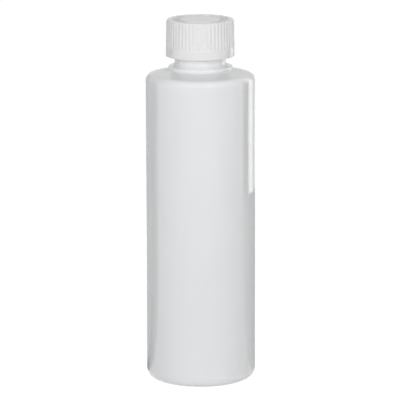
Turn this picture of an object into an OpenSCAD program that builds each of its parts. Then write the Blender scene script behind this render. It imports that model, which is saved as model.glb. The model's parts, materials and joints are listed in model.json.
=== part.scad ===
// Child-resistant plastic bottle, in millimetres, with +Z up.
// A blow-moulded cylinder bottle carries a closure of two shells and a sealing disc. The inner shell
// screws onto the neck. The outer shell snaps over it, and turns it open only while it is pushed down.
// The origin is the centre of the ring that the bottle stands on.

/* [Bottle] */
// Outside diameter of the body
body_d = 50; // [44:0.5:80]
// Height at which the straight side and the sloping shoulder would meet
shoulder_z = 141.3; // [60:0.1:220]
// Slope of the shoulder, in degrees above level
shoulder_slope = 14.3; // [8:0.1:25]
// Rounding between the side and the shoulder
shoulder_round = 3.25; // [1.5:0.25:6]
// Rounding of the heel, between the side and the foot
heel_round = 4; // [2:0.25:5]
// Width of the flat ring that the bottle stands on
foot_w = 1.25; // [0.75:0.25:3]
// Height of the hollow under the base
base_rise = 1.8; // [1:0.1:3]
// Width of the slope around the hollow
hollow_run = 3.5; // [2.5:0.1:5]
// Wall thickness of the blown body
body_wall = 1; // [0.6:0.05:1.6]
// Length of the weld where the mould pinched the base shut
pinch_l = 24; // [14:1:28]
// Width of that weld
pinch_w = 1; // [0.6:0.1:2]

/* [Neck] */
// Diameter of the collar under the closure
collar_d = 29.5; // [28:0.1:32]
// Height of the collar's side above the shoulder
collar_h = 1.3; // [1:0.1:2.5]
// Slope of the collar's top up to the neck, in degrees above level
collar_slope = 22; // [10:0.5:28]
// Rounding of the collar's upper edge
collar_round = 0.5; // [0.3:0.1:0.9]
// Diameter of the plain band between the collar and the thread
band_d = 23.5; // [22.4:0.1:23.7]
// Height of the plain band's upper end above the collar's edge
band_h = 5.6; // [4.6:0.1:6.1]
// Diameter of the neck's wall behind the thread
neck_d = 21.6; // [21:0.1:22]
// Diameter over the neck's thread
thread_d = 23.7; // [23.2:0.1:24.2]
// Bore of the neck
bore_d = 17.6; // [15:0.1:18.4]
// Height of the sealing rim above the collar's edge
neck_h = 16.1; // [15.6:0.1:18.6]

/* [Thread] */
// Rise of the thread in one turn
thread_pitch = 3.175; // [3:0.025:3.4]
// Turns of thread on the neck
neck_turns = 1.5; // [1.25:0.25:1.75]
// Turns of thread in the inner shell
shell_turns = 1.25; // [1:0.25:1.5]
// Width of a thread where it leaves its wall
thread_root_w = 2; // [1.6:0.1:2.1]
// Width of a thread at its crest
thread_crest_w = 0.85; // [0.6:0.05:1.1]
// Gap between a thread's crest and the wall that faces it
thread_clear = 0.3; // [0.2:0.05:0.4]
// Play between the shell's thread and the neck's thread above it
thread_play = 0.15; // [0.1:0.01:0.2]
// Distance from the sealing rim down to the neck's thread
rim_gap = 0.8; // [0.5:0.1:1.2]

/* [Inner shell] */
// Thickness of the sealing disc
liner_t = 1; // [0.6:0.1:1.5]
// Gap between the sealing disc and the shell around it
liner_clear = 0.2; // [0.1:0.05:0.4]
// Wall of the inner shell's skirt
inner_wall = 1; // [0.8:0.05:1.1]
// Thickness of the inner shell's top
inner_top_t = 1; // [0.8:0.1:1.4]
// Height of the inner shell's lower edge above the plain band
inner_foot_gap = 0.9; // [0.2:0.1:1]

/* [Outer shell] */
// Diameter over the ribs at the top
cap_top_d = 30.7; // [30.4:0.1:32]
// Diameter over the plain band at the foot
cap_foot_d = 31.4; // [31:0.1:33]
// Height of the plain band at the foot
cap_band_h = 4; // [3:0.1:5]
// Rounding of the top edge
cap_round = 1.1; // [0.8:0.1:2.2]
// Thickness of the outer shell's top
cap_top_t = 1.1; // [1:0.1:1.6]
// Gap around the inner shell
shell_clear = 0.35; // [0.25:0.05:0.45]
// How far the outer shell is pushed down to take the inner one with it
push_travel = 1; // [0.8:0.1:1.2]
// Number of grip ribs
rib_count = 54; // [36:2:60]
// Depth of the grooves between the ribs
rib_depth = 0.25; // [0.15:0.05:0.45]
// Radius of the grooves between the ribs
groove_r = 0.75; // [0.6:0.05:0.8]
// Height of the ring that snaps under the inner shell
snap_h = 1; // [0.8:0.1:1.3]
// How far the snap ring reaches under the inner shell
snap_reach = 0.4; // [0.3:0.05:0.6]
// Gap between the snap ring and the inner shell's lower edge
snap_clear = 0.1; // [0.05:0.05:0.2]
// Height of the lip below the snap ring
lip_h = 0.6; // [0.3:0.1:0.8]
// Rounding of the lip's outer edge
lip_round = 0.2; // [0.1:0.05:0.5]
// Depth of the ring-shaped panel in the top
dial_depth = 0.3; // [0.2:0.05:0.4]
// Inner radius of the ring-shaped panel
dial_r = 9; // [8.5:0.1:9.4]
// Width of the ring-shaped panel
dial_w = 3.8; // [3.2:0.1:3.9]
// Number of plain arrows in the panel
arrow_count = 3; // [2:1:4]
// Angle that an arrow's shaft covers
arrow_sweep = 46; // [30:1:60]
// Width of an arrow's shaft
arrow_w = 0.9; // [0.6:0.1:1.4]
// Width and length of an arrow's head
arrow_head = 2.4; // [1.8:0.1:2.8]

/* [Drive] */
// Space between the two shells' tops when nothing is pushed
drive_gap = 2.4; // [2.2:0.1:2.8]
// Number of drive lugs on each shell
lug_count = 12; // [8:1:12]
// Width of a lug
lug_w = 2; // [1.6:0.1:2.1]
// Radius at which the lugs begin
lug_r = 9.6; // [9.4:0.1:10]
// Length of a lug along the radius
lug_l = 2.6; // [2:0.1:2.8]
// Height of the slope on each lug's slipping edge
lug_slope_h = 0.35; // [0.2:0.05:0.5]
// Run of the slope on each lug's slipping edge
lug_slope_w = 0.8; // [0.4:0.1:1.2]
// Gap between a lug's tip and the shell that faces it, when pushed down
lug_clear = 0.1; // [0.05:0.01:0.2]
// Number of spring fingers on the inner shell
finger_count = 6; // [4:1:6]
// Length of a spring finger
finger_l = 4.5; // [3.5:0.1:4.8]
// Width of a spring finger
finger_w = 1.8; // [1.2:0.1:2]
// Thickness of a spring finger
finger_t = 0.5; // [0.4:0.05:0.6]
// Length of the foot that joins a finger to the shell
finger_foot = 1.2; // [0.8:0.1:1.6]
// Radius at which the fingers begin
finger_r = 5; // [4.8:0.1:6]

/* [Hidden] */
$fn = 96;
// How far a feature is sunk into the wall that carries it
sink = 0.3;
// How far a cutter runs past the face that it opens
past = 0.5;

body_r = body_d / 2;
foot_r = body_r - heel_round;
hollow_r = foot_r - foot_w;
base_wall = 1.2 * body_wall;
pinch_t = 0.4;

collar_r = collar_d / 2;
collar_wall = 1.3 * body_wall;
collar_z = shoulder_z + (body_r - collar_r) * tan(shoulder_slope);
collar_top = collar_z + collar_h;
band_r = band_d / 2;
band_top = collar_top + band_h;
band_taper = 1;
neck_r = neck_d / 2;
bore_r = bore_d / 2;
rim_z = collar_top + neck_h;
rim_round = 0.4;
collar_fillet = min(1, collar_h - collar_round);
band_fillet = 1.2;

thread_r = thread_d / 2;
thread_steps = 40;
thread_fade = 25;
neck_thread_z = rim_z - rim_gap - thread_root_w / 2 - neck_turns * thread_pitch;
shell_bore_r = thread_r + thread_clear;
shell_crest_r = neck_r + thread_clear;
// Half the width of the neck's thread at the radius that the shell's thread reaches
flank_share = thread_clear / (thread_r - neck_r);
flank_w = (thread_root_w - (thread_root_w - thread_crest_w) * flank_share) / 2;
shell_thread_z = neck_thread_z - flank_w - thread_crest_w / 2 - thread_play;

liner_top = rim_z + liner_t;
liner_r = shell_bore_r - liner_clear;
inner_r = shell_bore_r + inner_wall;
inner_foot = band_top + inner_foot_gap;
inner_top = liner_top + inner_top_t;
inner_round = 0.5;

cap_ceiling = inner_top + drive_gap;
cap_top = cap_ceiling + cap_top_t;
cap_bore_r = inner_r + shell_clear;
cap_foot_r = cap_foot_d / 2;
cap_top_r = cap_top_d / 2;
snap_top = inner_foot - snap_clear;
snap_r = inner_r - snap_reach;
snap_round = 0.2;
cap_foot = snap_top - snap_h - lip_h;
cap_band_top = cap_foot + cap_band_h;
cap_lean = (cap_foot_r - cap_top_r) / (cap_top - cap_foot);
groove_z = cap_band_top + groove_r;
groove_axis_r = cap_foot_r - cap_lean * (groove_z - cap_foot) - rib_depth + groove_r;

lug_h = drive_gap - push_travel - lug_clear;
lug_pitch = 360 / lug_count;
arrow_r = dial_r + dial_w / 2;
arrow_lift = dial_depth - 0.05;

function unit(v) = v / norm(v);

// The arc that rounds the corner at b, between its neighbours a and c, with the radius b[2]
function round_corner(a, b, c) =
    let (
        p = [b[0], b[1]],
        u = unit([a[0], a[1]] - p),
        v = unit([c[0], c[1]] - p),
        half = acos(u * v) / 2,
        centre = p + unit(u + v) * b[2] / sin(half),
        start = unit(p + u * b[2] / tan(half) - centre),
        end = unit(p + v * b[2] / tan(half) - centre),
        turn = 180 - 2 * half,
        steps = ceil(turn / 30 + b[2])
    )
    [for (k = [0:steps])
        centre + (start * sin(turn * (1 - k / steps)) + end * sin(turn * k / steps)) * b[2] / sin(turn)];

// A closed outline from corners [radius, height, rounding], where a rounding of 0 leaves a corner sharp
function outline(corners) =
    let (n = len(corners))
    [for (i = [0:n - 1])
        let (b = corners[i])
        each b[2] > 0
            ? round_corner(corners[(i + n - 1) % n], b, corners[(i + 1) % n])
            : [[b[0], b[1]]]];

module turned(corners) {
    rotate_extrude() polygon(outline(corners));
}

// Height of the shoulder's inner face at a radius
function shoulder_inside(r) =
    collar_z + (collar_r - r) * tan(shoulder_slope) - body_wall / cos(shoulder_slope);

// Height of the inner face under the collar's sloping top at a radius
function collar_inside(r) =
    collar_top + (collar_r - r) * tan(collar_slope) - collar_wall / cos(collar_slope);

// The four corners of a thread's section at one angle, from its foot in the wall round over its crest.
// The crest rises out of the wall over the first degrees, and sinks back over the last ones.
function thread_ring(angle, last, wall_r, crest_r, root_r) =
    let (
        rise = min(1, angle / thread_fade, (last - angle) / thread_fade),
        r = root_r + (crest_r - root_r) * (0.15 + 0.85 * rise),
        flank = (thread_root_w - thread_crest_w) / 2 / abs(crest_r - wall_r),
        foot = thread_root_w / 2 + flank * abs(root_r - wall_r),
        crest = thread_crest_w / 2
    )
    [for (q = [[root_r, -foot], [r, -crest], [r, crest], [root_r, foot]])
        [q[0] * cos(angle), q[0] * sin(angle), q[1] + thread_pitch * angle / 360]];

// A right-hand thread that rises from z = 0 on a wall of radius wall_r, outwards or inwards to crest_r
module thread(wall_r, crest_r, turns) {
    inwards = crest_r < wall_r;
    root_r = wall_r + (inwards ? sink : -sink);
    steps = ceil(turns * thread_steps);
    last = turns * 360;
    end = 4 * steps;
    points = [for (i = [0:steps]) each thread_ring(last * i / steps, last, wall_r, crest_r, root_r)];
    sides = [for (i = [0:steps - 1], j = [0:3])
        let (a = 4 * i + j, b = 4 * i + (j + 1) % 4)
        each [[a, b, a + 4], [b, b + 4, a + 4]]];
    ends = [[0, 2, 1], [0, 3, 2], [end, end + 1, end + 2], [end, end + 2, end + 3]];
    faces = [for (f = concat(sides, ends)) inwards ? [f[2], f[1], f[0]] : f];
    polyhedron(points = points, faces = faces);
}

// The blown bottle: one wall from the hollow under the base over the heel, side, shoulder and collar
// to the sealing rim, and back down its inside
module bottle() {
    color([0.92, 0.93, 0.94]) {
        turned([
            [0, base_rise, 0],
            [hollow_r - hollow_run, base_rise, 2],
            [hollow_r, 0, 0.6],
            [body_r, 0, heel_round],
            [body_r, shoulder_z, shoulder_round],
            [collar_r, collar_z, collar_fillet],
            [collar_r, collar_top, collar_round],
            [band_r, collar_top + (collar_r - band_r) * tan(collar_slope), band_fillet],
            [band_r, band_top, 0.3],
            [neck_r, band_top + band_taper, 0.5],
            [neck_r, rim_z, rim_round],
            [bore_r, rim_z, rim_round],
            [bore_r, collar_inside(bore_r), 0.6],
            [collar_r - collar_wall, collar_inside(collar_r - collar_wall), 0.6],
            [collar_r - collar_wall, shoulder_inside(collar_r - collar_wall), 0.6],
            [body_r - body_wall, shoulder_inside(body_r - body_wall), max(shoulder_round - body_wall, 0.5)],
            [body_r - body_wall, base_wall, max(heel_round - body_wall, 0.5)],
            [hollow_r, base_wall, 0.6],
            [hollow_r - hollow_run, base_rise + base_wall, 2],
            [0, base_rise + base_wall, 0]
        ]);
        translate([0, 0, neck_thread_z]) thread(neck_r, thread_r, neck_turns);
        translate([-pinch_l / 2, -pinch_w / 2, base_rise - pinch_t])
            cube([pinch_l, pinch_w, pinch_t + sink]);
    }
}

// The foam disc that the inner shell presses onto the sealing rim
module liner() {
    color([0.97, 0.97, 0.95])
        translate([0, 0, rim_z]) cylinder(h = liner_t, r = liner_r);
}

// One lug that stands on z = 0 with its clockwise edge sloped, so that it drives one way and slips the other
module lug() {
    translate([lug_r, 0, 0])
        rotate([90, 0, 90]) linear_extrude(height = lug_l) polygon([
            [-lug_w / 2, -sink],
            [lug_w / 2, -sink],
            [lug_w / 2, lug_h],
            [lug_slope_w - lug_w / 2, lug_h],
            [-lug_w / 2, lug_h - lug_slope_h]
        ]);
}

// One spring finger on z = 0, bent flat as when the closure is pushed down
module finger() {
    translate([finger_r, -finger_l / 2, 0])
        rotate([90, 0, 90]) linear_extrude(height = finger_w) polygon([
            [0, -sink],
            [finger_foot, -sink],
            [finger_foot, 0.1],
            [finger_l, lug_h - finger_t],
            [finger_l, lug_h],
            [0, finger_t]
        ]);
}

// The inner shell: threaded skirt, flat top, a ring of drive lugs and the spring fingers inside it
module inner_cap() {
    color([0.94, 0.94, 0.93]) {
        turned([
            [0, liner_top, 0],
            [shell_bore_r, liner_top, 0],
            [shell_bore_r, inner_foot, 0.3],
            [inner_r, inner_foot, 0.2],
            [inner_r, inner_top, inner_round],
            [0, inner_top, 0]
        ]);
        translate([0, 0, shell_thread_z]) thread(shell_bore_r, shell_crest_r, shell_turns);
        translate([0, 0, inner_top]) {
            for (i = [0:lug_count - 1]) rotate(i * lug_pitch) lug();
            for (i = [0:finger_count - 1]) rotate(i * 360 / finger_count) finger();
        }
    }
}

// A plain arrow on z = 0 that bends counter-clockwise round the top, the way the closure opens
module arrow() {
    rotate_extrude(angle = arrow_sweep)
        translate([arrow_r - arrow_w / 2, -sink]) square([arrow_w, arrow_lift + sink]);
    rotate(arrow_sweep) translate([arrow_r, 0, -sink])
        linear_extrude(height = arrow_lift + sink) polygon([
            [-arrow_head / 2, -0.1],
            [arrow_head / 2, -0.1],
            [0, arrow_head]
        ]);
}

// The outer shell: ribbed grip, plain band, top with its ring-shaped panel, hanging lugs and snap ring
module outer_cap() {
    color([0.96, 0.96, 0.96]) {
        difference() {
            turned([
                [0, cap_ceiling, 0],
                [cap_bore_r, cap_ceiling, 0.5],
                [cap_bore_r, snap_top, 0],
                [snap_r, snap_top, snap_round],
                [snap_r, snap_top - snap_h / 2, snap_round],
                [cap_bore_r, snap_top - snap_h, 0],
                [cap_bore_r, cap_foot, 0],
                [cap_foot_r, cap_foot, lip_round],
                [cap_top_r, cap_top, cap_round],
                [0, cap_top, 0]
            ]);
            for (i = [0:rib_count - 1])
                rotate((i + 0.5) * 360 / rib_count)
                    translate([groove_axis_r, 0, groove_z])
                        rotate([0, -atan(cap_lean), 0]) groove();
            translate([0, 0, cap_top - dial_depth]) difference() {
                cylinder(h = dial_depth + past, r = dial_r + dial_w);
                cylinder(h = 3 * (dial_depth + past), r = dial_r, center = true);
            }
        }
        translate([0, 0, cap_top - dial_depth])
            for (i = [0:arrow_count - 1]) rotate(i * 360 / arrow_count) arrow();
        translate([0, 0, cap_ceiling])
            for (i = [0:lug_count - 1]) rotate((i + 0.5) * lug_pitch) rotate([180, 0, 0]) lug();
    }
}

// The cutter of one groove between two ribs, with a round lower end
module groove() {
    cylinder(h = cap_top - groove_z + past, r = groove_r);
    sphere(r = groove_r);
}

bottle();
liner();
inner_cap();
outer_cap();
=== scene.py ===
"""A child-resistant plastic bottle: a blown bottle, a sealing disc and a two-shell push-and-turn closure.

Everything is in metres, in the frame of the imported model: +Z is up and -Y is towards the viewer.
"""
import json
import math

import bpy
import numpy as np
from mathutils import Matrix, Vector

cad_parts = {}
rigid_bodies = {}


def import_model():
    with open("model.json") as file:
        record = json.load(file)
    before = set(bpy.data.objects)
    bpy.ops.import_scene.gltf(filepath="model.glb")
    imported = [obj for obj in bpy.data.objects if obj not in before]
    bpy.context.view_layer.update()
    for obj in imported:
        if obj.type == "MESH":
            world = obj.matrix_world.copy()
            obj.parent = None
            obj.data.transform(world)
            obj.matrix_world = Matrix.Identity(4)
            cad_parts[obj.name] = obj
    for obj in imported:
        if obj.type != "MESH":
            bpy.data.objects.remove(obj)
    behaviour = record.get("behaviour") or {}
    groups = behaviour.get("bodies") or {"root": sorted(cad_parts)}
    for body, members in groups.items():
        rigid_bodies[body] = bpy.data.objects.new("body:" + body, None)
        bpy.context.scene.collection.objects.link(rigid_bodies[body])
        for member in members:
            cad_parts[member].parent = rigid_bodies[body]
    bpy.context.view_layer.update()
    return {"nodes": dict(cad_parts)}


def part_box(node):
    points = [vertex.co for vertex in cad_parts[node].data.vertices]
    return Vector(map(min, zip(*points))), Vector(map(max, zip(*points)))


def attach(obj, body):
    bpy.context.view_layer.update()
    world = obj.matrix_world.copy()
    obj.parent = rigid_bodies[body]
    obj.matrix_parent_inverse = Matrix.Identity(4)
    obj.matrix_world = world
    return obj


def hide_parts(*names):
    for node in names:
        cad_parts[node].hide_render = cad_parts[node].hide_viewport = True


bpy.data.batch_remove(list(bpy.data.objects))
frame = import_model()

# The bottle: one hollow piece of white high-density polyethylene, blown in a two-part mould. So it has a
# faint parting ridge on either side, a pinched weld under its base, die lines up its side and an even,
# slightly wavy gloss. The neck is moulded with the thread that the closure screws onto.
MM = 0.001
body_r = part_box("bottle")[1].x
rim_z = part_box("bottle")[1].z
heel_round = 4 * MM
foot_w = 1.25 * MM
hollow_r = body_r - heel_round - foot_w
hollow_run = 3.5 * MM
base_rise = 1.8 * MM
body_wall = 1 * MM
base_wall = 1.2 * body_wall
pinch_l, pinch_w, pinch_t = 24 * MM, 1 * MM, 0.4 * MM
neck_h = 16.1 * MM
collar_h = 1.3 * MM
collar_r = 14.75 * MM
collar_wall = 1.3 * body_wall
collar_slope = math.radians(22)
collar_round, collar_fillet = 0.5 * MM, 0.8 * MM
collar_top = rim_z - neck_h
collar_z = collar_top - collar_h
shoulder_slope = math.radians(14.3)
shoulder_z = collar_z - (body_r - collar_r) * math.tan(shoulder_slope)
shoulder_round = 3.25 * MM
band_r, band_h = 11.75 * MM, 5.6 * MM
band_top = collar_top + band_h
band_fillet = 1.2 * MM
neck_r, bore_r = 10.8 * MM, 8.8 * MM
thread_r = 11.85 * MM
pitch = 3.175 * MM
thread_turns = 1.5
thread_root_w, thread_crest_w = 2 * MM, 0.85 * MM
thread_z = rim_z - 0.8 * MM - thread_root_w / 2 - thread_turns * pitch
thread_fade = math.radians(25)
arc_step = math.radians(10)
seam_h, seam_w = 0.05 * MM, 0.22 * MM
wave_h = 0.05 * MM


def unit(direction):
    """The direction with a length of 1."""
    return direction / np.linalg.norm(direction)


def rounded(corners):
    """The points of an outline given by corners (radius, height, rounding, spacing).

    A corner becomes the arc that touches both of its edges: its centre lies on the bisector, the rounding
    divided by the sine of half the corner's angle away. The edge before a corner is cut at the spacing.
    """
    corners = np.array(corners, float)
    points = [corners[:1, :2]]
    for before, (*here, rounding, spacing), after in zip(corners, corners[1:], corners[2:]):
        u, v = unit(before[:2] - here), unit(after[:2] - here)
        half = np.arccos(u @ v) / 2
        sweep = np.pi - 2 * half
        arc = np.array([here])
        if rounding > 0:
            centre = here + unit(u + v) * rounding / np.sin(half)
            start, end = (here + w * rounding / np.tan(half) - centre for w in (u, v))
            share = np.linspace(0, 1, math.ceil(sweep / arc_step) + 1)[:, None]
            arc = start * np.sin(sweep * (1 - share)) + end * np.sin(sweep * share)
            arc = centre + arc / np.sin(sweep)
        points += [cut_edge(points[-1][-1], arc[0], spacing), arc]
    points += [cut_edge(points[-1][-1], corners[-1, :2], corners[-1, 3]), corners[-1:, :2]]
    return np.concatenate(points)


def cut_edge(start, end, spacing):
    """The points that cut the edge between two points into equal parts no longer than the spacing."""
    parts = max(1, math.ceil(np.linalg.norm(end - start) / spacing))
    return np.linspace(start, end, parts + 1)[1:-1]


def ease(low, high, value):
    """0 below low, 1 above high, and the smooth cubic 3t^2 - 2t^3 between them."""
    share = np.clip((value - low) / (high - low), 0, 1)
    return share * share * (3 - 2 * share)


def skin(name, radius, height, angle):
    """A closed skin round the Z axis, smooth but for its sharp corners.

    Rows of points are (radius cos angle, radius sin angle, height). The first and the last row shrink to
    a pole. Faces point outwards where the rows are walked with the material on the left.
    """
    radius, height, angle = np.broadcast_arrays(radius, height, angle)
    points = np.stack([radius * np.cos(angle), radius * np.sin(angle), height], axis=-1)
    rings = points[1:-1].reshape(-1, 3)
    poles = points[[0, -1]].mean(axis=1) * (0, 0, 1)
    at = np.arange(len(rings)).reshape(len(radius) - 2, -1)
    right = np.roll(at, -1, axis=1)
    quads = np.stack([at[:-1], right[:-1], right[1:], at[1:]], axis=-1).reshape(-1, 4)
    first = np.stack([np.full_like(at[0], len(rings)), right[0], at[0]], axis=-1)
    last = np.stack([np.full_like(at[0], len(rings) + 1), at[-1], right[-1]], axis=-1)
    mesh = bpy.data.meshes.new(name)
    faces = quads.tolist() + first.tolist() + last.tolist()
    mesh.from_pydata(np.concatenate([rings, poles]).tolist(), [], faces)
    mesh.shade_smooth()
    mesh.set_sharp_from_angle(angle=math.radians(35))
    piece = bpy.data.objects.new(name, mesh)
    bpy.context.scene.collection.objects.link(piece)
    return piece


def shoulder_inside(radius):
    """Height of the shoulder's inner face: the outer slope, lowered by the wall measured square to it."""
    slope = (collar_r - radius) * math.tan(shoulder_slope)
    return collar_z + slope - body_wall / math.cos(shoulder_slope)


def collar_inside(radius):
    """Height of the inner face under the collar's sloping top, lowered from it in the same way."""
    slope = (collar_r - radius) * math.tan(collar_slope)
    return collar_top + slope - collar_wall / math.cos(collar_slope)


def neck_thread(height, angle):
    """How far the thread stands out of the neck: a trapezoid across each turn of the helix, whose height is
    the start's plus the pitch times the turns made, rising out of the wall and sinking back at its ends."""
    out = 0
    for turn in range(math.ceil(thread_turns)):
        made = angle % (2 * np.pi) + 2 * np.pi * turn
        off = np.abs(height - thread_z - pitch * made / (2 * np.pi))
        across = 1 - ease(thread_crest_w / 2, thread_root_w / 2, off)
        ends = np.minimum(made, 2 * np.pi * thread_turns - made) / thread_fade
        out = np.maximum(out, across * ease(0, 1, ends))
    return out * (thread_r - neck_r)


collar_bore_r = collar_r - collar_wall
side_inside = body_r - body_wall
line = rounded([
    (0, base_rise, 0, 0),
    (hollow_r - hollow_run, base_rise, 2 * MM, 0.9 * MM),
    (hollow_r, 0, 0.6 * MM, 0.9 * MM),
    (body_r, 0, heel_round, 0.9 * MM),
    (body_r, shoulder_z, shoulder_round, 1.8 * MM),
    (collar_r, collar_z, collar_fillet, 0.8 * MM),
    (collar_r, collar_top, collar_round, 0.4 * MM),
    (band_r, collar_top + (collar_r - band_r) * math.tan(collar_slope), band_fillet, 0.4 * MM),
    (band_r, band_top, 0.3 * MM, 0.8 * MM),
    (neck_r, band_top + 1 * MM, 0.5 * MM, 0.4 * MM),
    (neck_r, rim_z, 0.4 * MM, 0.2 * MM),
    (bore_r, rim_z, 0.4 * MM, 0.6 * MM),
    (bore_r, collar_inside(bore_r), 0.6 * MM, 2 * MM),
    (collar_bore_r, collar_inside(collar_bore_r), 0.6 * MM, 1 * MM),
    (collar_bore_r, shoulder_inside(collar_bore_r), 0.6 * MM, 1 * MM),
    (side_inside, shoulder_inside(side_inside), shoulder_round - body_wall, 2 * MM),
    (side_inside, base_wall, heel_round - body_wall, 5 * MM),
    (hollow_r, base_wall, 0.6 * MM, 1 * MM),
    (hollow_r - hollow_run, base_rise + base_wall, 2 * MM, 1 * MM),
    (0, base_rise + base_wall, 0, 2 * MM),
])
columns = 240
beside_seam = np.radians([-0.9, -0.5, -0.25, 0.25, 0.5, 0.9])
around = np.arange(columns) * 2 * np.pi / columns
around = np.sort(np.concatenate([around, beside_seam % (2 * np.pi), beside_seam + np.pi]))
radius, height = line[:, :1] + 0 * around, line[:, 1:] + 0 * around
outside = (np.arange(len(line)) <= line[:, 1].argmax())[:, None]
square = np.gradient(line, axis=0) / np.linalg.norm(np.gradient(line, axis=0), axis=1, keepdims=True)
blown = outside * ease(1 * MM, heel_round, height) * (1 - ease(collar_top - 2 * MM, collar_top, height))
seam = np.exp(-(radius * np.sin(around) / seam_w) ** 2)
side = ease(0, 30 * MM, height) * (1 - ease(shoulder_z - 30 * MM, shoulder_z, height))
swell = np.sin(2 * around + 0.8 * np.sin(height / (21 * MM))) + np.sin(3 * around - height / (34 * MM))
sunk = blown * (seam_h * (1 - seam) + side * wave_h * (0.5 + 0.25 * swell))
weld = outside * (1 - ease(0.3, 0.75, np.abs(radius * np.sin(around)) / pinch_w))
weld = weld * (1 - ease(0.47, 0.52, np.abs(radius * np.cos(around)) / pinch_l)) * (height < 2 * MM)
on_neck = outside & (line[:, 1:] > band_top + 0.5 * MM) & (line[:, :1] > neck_r - 0.1 * MM)
bottle = skin(
    "bottle_body",
    radius - square[:, 1:] * sunk + on_neck * neck_thread(height, around),
    height + square[:, :1] * sunk - weld * pinch_t,
    around,
)


class Wire:
    """One socket of a node tree. +, - and * between wires and numbers add the Math nodes for it."""

    def __init__(self, finish, socket):
        self.finish, self.socket = finish, socket

    def sum_up(self, operation, first, second):
        return self.finish.node("Math", {"operation": operation}, {0: first, 1: second})

    def __add__(self, other):
        return self.sum_up("ADD", self, other)

    def __sub__(self, other):
        return self.sum_up("SUBTRACT", self, other)

    def __rsub__(self, other):
        return self.sum_up("SUBTRACT", other, self)

    def __mul__(self, other):
        return self.sum_up("MULTIPLY", self, other)

    __radd__, __rmul__ = __add__, __mul__


class Finish:
    """The node tree of a material or of the world, filled one node at a time."""

    def __init__(self, owner):
        owner.use_nodes = True
        self.tree = owner.node_tree
        self.tree.nodes.clear()

    def node(self, kind, settings=None, sockets=None, output=0):
        """Adds a node: its settings first, then a value or a wire for each socket. Gives one output."""
        made = self.tree.nodes.new("ShaderNode" + kind)
        for name, value in (settings or {}).items():
            setattr(made, name, value)
        for name, value in (sockets or {}).items():
            if isinstance(value, Wire):
                self.tree.links.new(value.socket, made.inputs[name])
            else:
                made.inputs[name].default_value = value
        return Wire(self, made.outputs[output]) if made.outputs else made

    def noise(self, scale, detail=2, stretch=(1, 1, 1)):
        """Noise from 0 to 1 on the object's own coordinates; a smaller stretch draws the pattern out."""
        place = self.node("TexCoord", output="Object")
        place = self.node("Mapping", {}, {"Vector": place, "Scale": stretch})
        return self.node("TexNoise", {}, {"Vector": place, "Scale": scale, "Detail": detail})

    def tint(self, share, first, second):
        """The colour that lies a share of the way from the first to the second."""
        return self.node("Mix", {"data_type": "RGBA"}, {0: share, 6: (*first, 1), 7: (*second, 1)}, 2)


def plastic(name, make):
    """A material whose shader's sockets, constant or varying, are what make(finish) gives."""
    material = bpy.data.materials.new(name)
    finish = Finish(material)
    shader = finish.node("BsdfPrincipled", {}, make(finish))
    finish.node("OutputMaterial", {}, {"Surface": shader})
    return material


def blown_polyethylene(finish):
    """Glossy white with a soft cloudiness: orange peel and die lines in the bump, gloss that wanders.
    Above the collar the colour is whiter: painted light, standing in for the light that reaches the neck
    under the closure."""
    height = finish.node("SeparateXYZ", {}, {0: finish.node("TexCoord", output="Object")}, "Z")
    # Painted light: above the collar the colour is whiter, in place of the light that reaches the neck
    # under the closure.
    neck_painted_light = finish.node("MapRange", {"interpolation_type": "SMOOTHSTEP"}, {
        "Value": height, "From Min": collar_top - 0.3 * MM, "From Max": collar_top + 0.7 * MM,
    })
    cloud = finish.noise(22)
    peel = finish.noise(520)
    die_lines = finish.noise(640, 1, (1, 1, 0.015))
    return {
        "Base Color": finish.tint(cloud * 0.12 + neck_painted_light * 0.88, (0.785, 0.793, 0.806), (0.92, 0.93, 0.94)),
        "Roughness": 0.05 + cloud * 0.03 + peel * 0.015,
        "Normal": finish.node("Bump", {}, {
            "Height": peel * 0.6 + die_lines * 0.4, "Strength": 0.12, "Distance": 0.1 * MM,
        }),
        "IOR": 1.52,
        "Subsurface Weight": 0.8,
        "Subsurface Radius": (1, 1, 1),
        "Subsurface Scale": 2 * MM,
    }


bottle.data.materials.append(plastic("blown polyethylene", blown_polyethylene))
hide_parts("bottle")
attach(bottle, "bottle")

# The sealing disc: 1 mm of white closed-cell polyethylene foam, punched out of sheet, so its rim is cut
# square and its faces have a thin skin. The inner shell presses it onto the neck's rim.
disc_low, disc_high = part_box("liner")
disc_r = disc_high.x
disc_round = 0.12 * MM
disc_line = rounded([
    (0, disc_low.z, 0, 0),
    (disc_r, disc_low.z, disc_round, 1 * MM),
    (disc_r, disc_high.z, disc_round, 0.2 * MM),
    (0, disc_high.z, 0, 1 * MM),
])
disc = skin("sealing_disc", disc_line[:, :1], disc_line[:, 1:], np.arange(144) * 2 * np.pi / 144)


def closed_cell_foam(finish):
    """Dull white with the small closed cells of the foam showing through its skin."""
    cells = finish.node("TexVoronoi", {"feature": "F1"}, {
        "Vector": finish.node("TexCoord", output="Object"), "Scale": 3200,
    })
    return {
        "Base Color": finish.tint(cells, (0.86, 0.86, 0.84), (0.78, 0.78, 0.76)),
        "Roughness": 0.62 + cells * 0.2,
        "Normal": finish.node("Bump", {}, {"Height": cells, "Strength": 0.35, "Distance": 0.1 * MM}),
    }


disc.data.materials.append(plastic("closed-cell foam", closed_cell_foam))
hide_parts("liner")
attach(disc, "liner")

# The inner shell: white polypropylene, injection-moulded, with the thread inside, the ring of drive lugs
# and the spring fingers on top. It is turned off its mould's core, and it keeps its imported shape.


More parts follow.
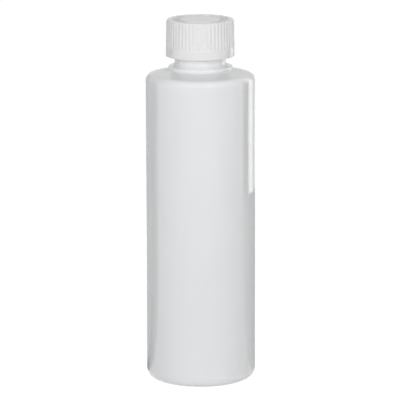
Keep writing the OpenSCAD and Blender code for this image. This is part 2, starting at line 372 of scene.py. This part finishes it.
def moulded_polypropylene(finish, roughness, grain_depth, texture_and_painted_shade=0):
    """Satin white from a lightly grained mould, a little smoother where the melt cooled last. The last
    argument is the share by which a part of the mould is textured: rougher there, and darker in colour as
    painted shade for the texture's shadows."""
    flow = finish.noise(70)
    grain = finish.noise(2600, 3)
    return {
        # Painted shade: the textured ring is coloured darker, in place of the shadows in its texture and
        # lettering.
        "Base Color": finish.tint(flow * 0.15 + texture_and_painted_shade * 0.8, (0.755, 0.755, 0.753), (0.71, 0.71, 0.71)),
        "Roughness": roughness - 0.04 + flow * 0.05 + grain * 0.04 + texture_and_painted_shade * 0.6,
        "Normal": finish.node("Bump", {}, {
            "Height": grain, "Strength": 0.2, "Distance": grain_depth,
        }),
        "IOR": 1.49,
        "Subsurface Weight": 0.3,
        "Subsurface Radius": (1, 1, 1),
        "Subsurface Scale": 0.8 * MM,
    }


inner_finish = plastic("inner shell polypropylene", lambda f: moulded_polypropylene(f, 0.4, 0.05 * MM))
inner_shell = frame["nodes"]["inner_cap"]
inner_shell.data.materials.clear()
inner_shell.data.materials.append(inner_finish)

# The outer shell: white polypropylene, injection-moulded, snapped over the inner one by the ring inside its
# lower edge. Ribs for grip end above a plain band. Plain raised arrows in a sunk ring show the way to turn.
cap_low, cap_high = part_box("outer_cap")
cap_foot, cap_top = cap_low.z, cap_high.z
cap_foot_r, cap_top_r = 15.7 * MM, 15.35 * MM
cap_round = 1.1 * MM
cap_ceiling = cap_top - 1.1 * MM
cap_bore_r = 13.5 * MM
lip_h = 0.6 * MM
snap_h, snap_r = 1 * MM, 12.75 * MM
snap_top = cap_foot + lip_h + snap_h
cap_lean = (cap_foot_r - cap_top_r) / (cap_top - cap_foot)
rib_count, rib_depth, groove_r = 54, 0.25 * MM, 0.75 * MM
band_top_z = cap_foot + 4 * MM
groove_z = band_top_z + groove_r
rib_edge = 0.14 * MM
rib_columns = 10
dial_r, dial_w, dial_depth = 9 * MM, 3.8 * MM, 0.3 * MM
arrow_count, arrow_sweep = 3, math.radians(46)
arrow_w, arrow_head = 0.9 * MM, 2.4 * MM
lug_count, lug_w, lug_l, lug_r = 12, 2 * MM, 2.6 * MM, 9.6 * MM
lug_h, lug_slope_h, lug_slope_w = 1.3 * MM, 0.35 * MM, 0.8 * MM


def ribs(radius, height, angle):
    """The skirt's radius with its grooves: each is a round bar's imprint, whose axis leans with the skirt
    and whose lower end is half a ball. A smooth minimum of skirt and imprint rounds the ribs' edges."""
    spacing = 2 * np.pi / rib_count
    off = (angle % spacing) - spacing / 2
    axis_r = cap_foot_r - cap_lean * (height - cap_foot) - rib_depth + groove_r
    inside = groove_r**2 - (axis_r * np.sin(off)) ** 2 - np.minimum(height - groove_z, 0) ** 2
    imprint = axis_r * np.cos(off) - np.sqrt(np.maximum(inside, 0))
    near = np.maximum(rib_edge - np.abs(radius - imprint), 0)
    return np.minimum(radius, imprint) - near**2 / (4 * rib_edge)


def arrows(radius, angle):
    """The arrows' share of their height: a curved shaft, then a head whose half width shrinks to 0."""
    middle = dial_r + dial_w / 2
    along = (angle % (2 * np.pi / arrow_count)) * middle
    shaft = arrow_sweep * middle
    half = np.where(along < shaft, arrow_w / 2, (shaft + arrow_head - along) / 2)
    edge = np.minimum(half - np.abs(radius - middle), along)
    return ease(-0.06 * MM, 0.1 * MM, edge)


def lugs(radius, angle):
    """How far the drive lugs hang down: blocks along the radius, each with a slope on its slipping edge."""
    spacing = 2 * np.pi / lug_count
    across = (angle % spacing - spacing / 2) * radius
    slope = lug_slope_h * np.clip((across - lug_w / 2 + lug_slope_w) / lug_slope_w, 0, 1)
    block = 1 - ease(lug_w / 2 - 0.1 * MM, lug_w / 2 + 0.02 * MM, np.abs(across))
    return block * (radius > lug_r - 0.01 * MM) * (radius < lug_r + lug_l + 0.01 * MM) * (lug_h - slope)


cap_line = rounded([
    (0, cap_ceiling, 0, 0),
    (lug_r - 0.1 * MM, cap_ceiling, 0, 1.5 * MM),
    (lug_r, cap_ceiling, 0, 1 * MM),
    (lug_r + lug_l, cap_ceiling, 0, 0.65 * MM),
    (lug_r + lug_l + 0.1 * MM, cap_ceiling, 0, 1 * MM),
    (cap_bore_r, cap_ceiling, 0.5 * MM, 1 * MM),
    (cap_bore_r, snap_top, 0, 2 * MM),
    (snap_r, snap_top, 0.2 * MM, 0.4 * MM),
    (snap_r, snap_top - snap_h / 2, 0.2 * MM, 0.4 * MM),
    (cap_bore_r, snap_top - snap_h, 0, 0.4 * MM),
    (cap_bore_r, cap_foot, 0.15 * MM, 0.4 * MM),
    (cap_foot_r, cap_foot, 0.2 * MM, 0.7 * MM),
    (cap_foot_r - cap_lean * (groove_z - groove_r - cap_foot), groove_z - groove_r, 0, 1 * MM),
    (cap_foot_r - cap_lean * (groove_z + 0.3 * MM - cap_foot), groove_z + 0.3 * MM, 0, 0.1 * MM),
    (cap_top_r, cap_top, cap_round, 1.5 * MM),
    (dial_r + dial_w, cap_top, 0.08 * MM, 0.3 * MM),
    (dial_r + dial_w - 0.1 * MM, cap_top - dial_depth, 0.08 * MM, 0.3 * MM),
    (dial_r + 0.1 * MM, cap_top - dial_depth, 0.08 * MM, 0.14 * MM),
    (dial_r, cap_top, 0.08 * MM, 0.3 * MM),
    (0, cap_top, 0, 1 * MM),
])
turn = (np.arange(rib_count * rib_columns) + 0.5) * 2 * np.pi / (rib_count * rib_columns)
cap_radius, cap_height = cap_line[:, :1] + 0 * turn, cap_line[:, 1:] + 0 * turn
above = cap_height > cap_ceiling + 0.1 * MM
in_dial = above & (np.abs(cap_radius - dial_r - dial_w / 2) < dial_w / 2 - 0.2 * MM)
under = np.abs(cap_height - cap_ceiling) < 0.001 * MM
arrow_h = dial_depth - 0.05 * MM
outer_shell = skin(
    "outer_shell",
    ribs(cap_radius, cap_height, turn),
    cap_height + in_dial * arrows(cap_radius, turn) * arrow_h - under * lugs(cap_radius, turn),
    turn,
)


def in_ring(finish):
    """1 on the textured floor of the sunk ring, which is rougher and carries painted shade, and 0
    elsewhere.
    """
    place = finish.node("TexCoord", output="Object")
    flat = finish.node("Mapping", {}, {"Vector": place, "Scale": (1, 1, 0)})
    radius = finish.node("VectorMath", {"operation": "LENGTH"}, {0: flat}, "Value")
    height = finish.node("SeparateXYZ", {}, {0: place}, "Z")
    near = {0: radius, 1: dial_r + dial_w / 2, 2: dial_w / 2 - 0.15 * MM}
    high = finish.node("Math", {"operation": "GREATER_THAN"}, {0: height, 1: cap_top - 1 * MM})
    return finish.node("Math", {"operation": "COMPARE"}, near) * high


# The sunk ring's floor is rougher, and it is painted darker as painted shade.
outer_finish = plastic(
    "outer shell polypropylene", lambda f: moulded_polypropylene(f, 0.16, 0.03 * MM, in_ring(f)),
)
outer_shell.data.materials.append(outer_finish)
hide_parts("outer_cap")
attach(outer_shell, "outer_cap")

# The stage: a plain pale floor, a white surround, two soft boxes in front and above, and a wide front fill.
# Dark and grey cards stand at either side and behind, for the grey flanks that set the white body off from
# the background, and bright strips and box faces are there for the gloss to mirror.
white = (1, 1, 1, 1)


def seen_directly(finish):
    """1 for rays from the camera, a mirror or glass, and 0 for the rays that light a dull surface."""
    camera_ray = finish.node("LightPath", output="Is Camera Ray")
    glossy_ray = finish.node("LightPath", output="Is Glossy Ray")
    return camera_ray + glossy_ray + finish.node("LightPath", output="Is Transmission Ray")


surround = bpy.data.worlds.new("surround")
bpy.context.scene.world = surround
finish = Finish(surround)
dim = 0.36
finish.node("OutputWorld", {}, {
    "Surface": finish.node("Background", {}, {
        "Color": white, "Strength": dim + seen_directly(finish) * (1 - dim),
    }),
})


def stage_sheet(name, line, start, end, material):
    """A sheet of the stage: an outline of (radius, height) points swung round the Z axis from start to end,
    in degrees to the right of the viewer's side."""
    line = np.array(line, float)
    away, up = line[:, :1], line[:, 1:]
    swing = np.radians(np.linspace(start, end, 25))
    points = np.stack([away * np.sin(swing), -away * np.cos(swing), up + 0 * swing], -1)
    at = np.arange(points[..., 0].size).reshape(len(line), -1)
    mesh = bpy.data.meshes.new(name)
    quads = np.stack([at[:-1, :-1], at[:-1, 1:], at[1:, 1:], at[1:, :-1]], -1).reshape(-1, 4)
    mesh.from_pydata(points.reshape(-1, 3).tolist(), [], quads.tolist())
    mesh.materials.append(material)
    sheet = bpy.data.objects.new(name, mesh)
    bpy.context.scene.collection.objects.link(sheet)
    return sheet


pale = bpy.data.materials.new("pale floor")
finish = Finish(pale)
lit = finish.node("BsdfDiffuse", {}, {"Color": (0.85, 0.85, 0.85, 1)})
glow = finish.node("Emission", {}, {"Color": white, "Strength": 1.13})
finish.node("OutputMaterial", {}, {
    "Surface": finish.node("MixShader", {}, {0: seen_directly(finish) * 0.85, 1: lit, 2: glow}),
})
stage_sheet("floor", [(0.0001, 0), (6, 0)], 0, 360, pale)


def glowing(name, strength):
    """A material that gives off white light of this strength; 0 is a black card."""
    material = bpy.data.materials.new(name)
    finish = Finish(material)
    light = finish.node("Emission", {}, {"Color": white, "Strength": strength})
    finish.node("OutputMaterial", {}, {"Surface": light})
    return material


card_r, card_h = 0.26, 0.4
low_h = 36 * MM
floor_line = [(body_r + 2 * MM, 0.5 * MM), (card_r, 0.5 * MM)]
high_line = [(card_r, low_h), (card_r, card_h)]
whole_line, low_line = floor_line + high_line[1:], floor_line + high_line[:1]
face_line = [(1.35, 0.8), (1.35, 1.65)]
for name, line, start, end, strength in (
    ("left card", whole_line, -124, -99, 0.08),
    ("left grey card", whole_line, -160, -124, 0.55),
    ("back card", [(card_r, 0.14), (card_r, card_h)], 160, 200, 0.88),
    ("right low card", low_line, 98, 178, 0.52),
    ("right card", high_line, 97, 117, 0.0),
    ("right strip", high_line, 117, 137, 2.7),
    ("thin strip", high_line, 90, 94, 1.8),
    ("left box face", face_line, -37, -23, 3.8),
    ("right box face", face_line, 17, 31, 3.8),
):
    sheet = stage_sheet(name, line, start, end, glowing(name, strength))
    sheet.visible_camera = sheet.visible_diffuse = sheet.visible_shadow = False
    sheet.visible_transmission = False


def soft_box(name, azimuth, elevation, away, width, height, watts):
    """A soft box that faces the bottle from an azimuth right of the viewer's side, in degrees."""
    lamp = bpy.data.lights.new(name, "AREA")
    lamp.shape, lamp.size, lamp.size_y, lamp.energy = "RECTANGLE", width, height, watts
    azimuth, elevation = math.radians(azimuth), math.radians(elevation)
    level = math.cos(elevation)
    back = Vector((level * math.sin(azimuth), -level * math.cos(azimuth), math.sin(elevation)))
    box = bpy.data.objects.new(name, lamp)
    box.location = Vector((0, 0, 0.1)) + back * away
    box.rotation_euler = back.to_track_quat("Z", "Y").to_euler()
    bpy.context.scene.collection.objects.link(box)


soft_box("left soft box", -30, 38, 1.8, 0.42, 0.5, 4)
soft_box("right soft box", 24, 38, 1.8, 0.42, 0.5, 4)
fill = stage_sheet("front fill", [(1.5, 0.42), (1.5, 0.8)], -60, 60, glowing("front fill", 3.6))
fill.visible_camera = fill.visible_glossy = False

lens = bpy.data.cameras.new("camera")
lens.sensor_width = 36
lens.lens = 269.8
camera = bpy.data.objects.new("camera", lens)
bpy.context.scene.collection.objects.link(camera)
tilt = Matrix.Rotation(math.radians(90 - 11.97), 4, "X") @ Matrix.Rotation(math.radians(-0.15), 4, "Z")
camera.matrix_world = Matrix.Translation((-0.0003, -1.346, 0.3682)) @ tilt
bpy.context.scene.camera = camera
bpy.context.scene.view_settings.view_transform = "Standard"
